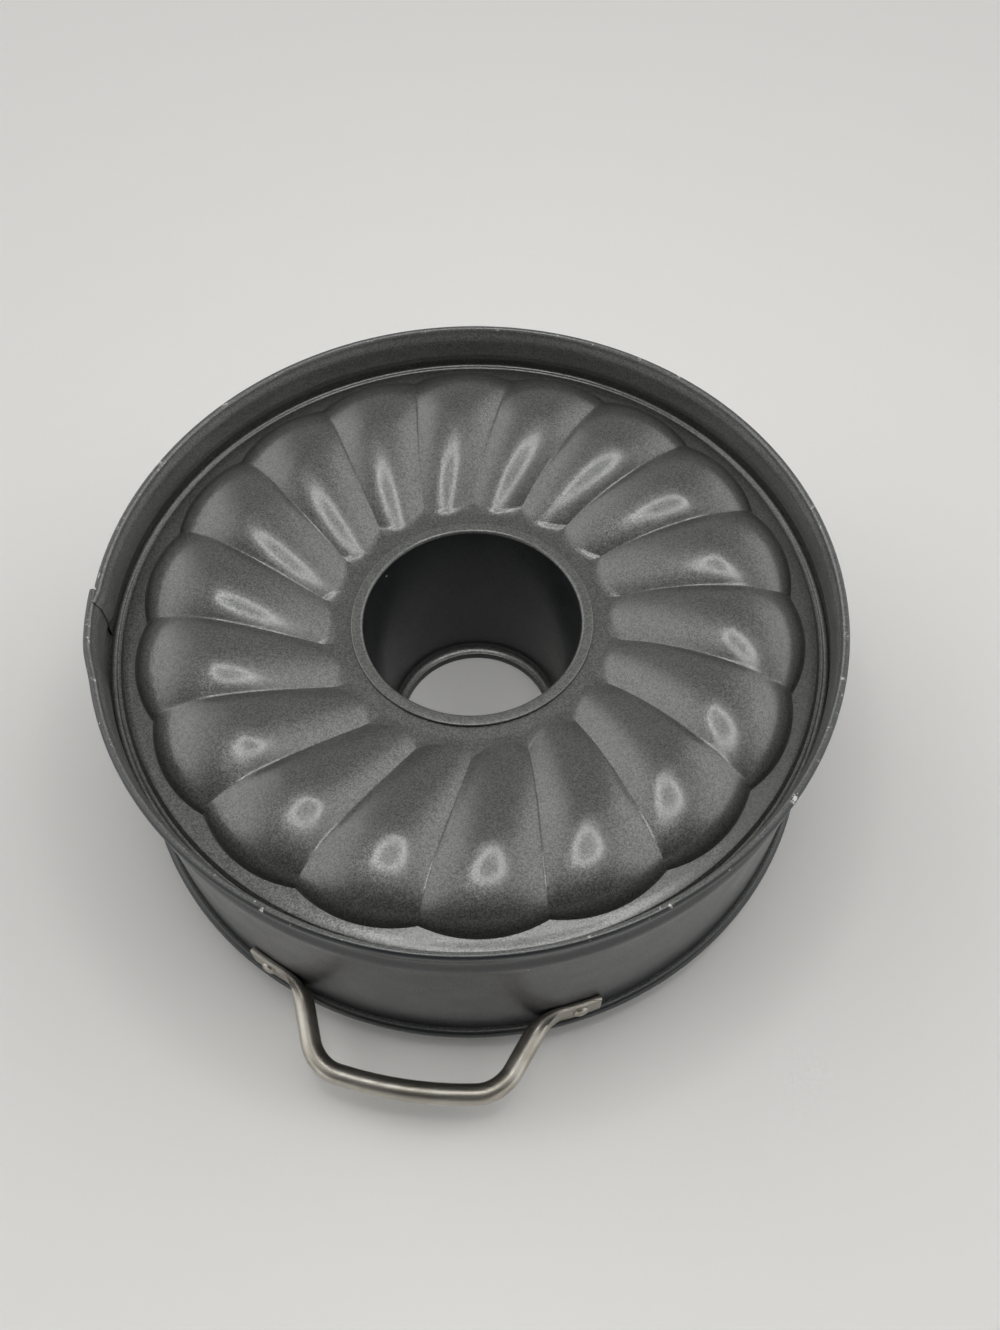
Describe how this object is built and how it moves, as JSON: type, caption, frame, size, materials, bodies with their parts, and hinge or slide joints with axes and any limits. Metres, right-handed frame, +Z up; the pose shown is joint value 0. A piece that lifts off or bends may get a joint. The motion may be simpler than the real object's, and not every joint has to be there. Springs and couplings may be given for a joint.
{
  "type": "springform bundt pan",
  "caption": "Round springform baking pan with a fluted tube base, a lever latch on the side band and a bar handle on each side.",
  "frame": {"origin": "centre of the tube's foot, on the surface that the pan stands on when it is upside down", "axes": "+Z up along the pan's axis, towards the underside of the base; +Y towards the far handle; the latch is on the -X side"},
  "size_m": [0.2483, 0.2818, 0.09],
  "materials": {
    "coating": "dark grey non-stick coating with a fine metallic fleck, satin",
    "stainless": "brushed stainless steel",
    "plated_steel": "zinc-plated pressed steel, satin"
  },
  "bodies": {
    "pan": {"band_far": "coating", "fluted_base": "coating", "centre_tube": "coating", "handle_far": "stainless", "handle_rivet_far_a": "stainless", "handle_rivet_far_b": "stainless", "latch_bracket": "plated_steel", "latch_bracket_rivet_upper": "stainless", "latch_bracket_rivet_lower": "stainless", "latch_pivot_upper": "plated_steel", "latch_pivot_lower": "plated_steel"},
    "band_end": {"band_near": "coating", "handle_near": "stainless", "handle_rivet_near_a": "stainless", "handle_rivet_near_b": "stainless", "keeper_bracket": "plated_steel", "keeper_bracket_rivet_upper": "stainless", "keeper_bracket_rivet_lower": "stainless", "keeper_pin": "plated_steel"},
    "lever": {"latch_lever": "plated_steel", "latch_link_pin": "plated_steel"},
    "link": {"latch_link": "plated_steel"}
  },
  "joints": [
    {"name": "latch_lever_hinge", "type": "hinge", "parent": "pan", "child": "lever", "pos_m": [-0.12087, 0.02902, 0.048], "axis": [0, 0, 1], "range_deg": [0, 105]},
    {"name": "latch_link_hinge", "type": "hinge", "parent": "lever", "child": "link", "pos_m": [-0.11971, 0.03592, 0.048], "axis": [0, 0, -1], "range_deg": [0, 94.26]},
    {"name": "band_flex", "type": "hinge", "parent": "pan", "child": "band_end", "pos_m": [0.11638, -0.00406, 0.045], "axis": [0, 0, 1], "range_deg": [0, 1.52]}
  ],
  "couplings": [
    {"joint": "latch_link_hinge", "follows": "latch_lever_hinge", "ratio": 0.89762},
    {"joint": "band_flex", "follows": "latch_lever_hinge", "ratio": 0.014476}
  ]
}
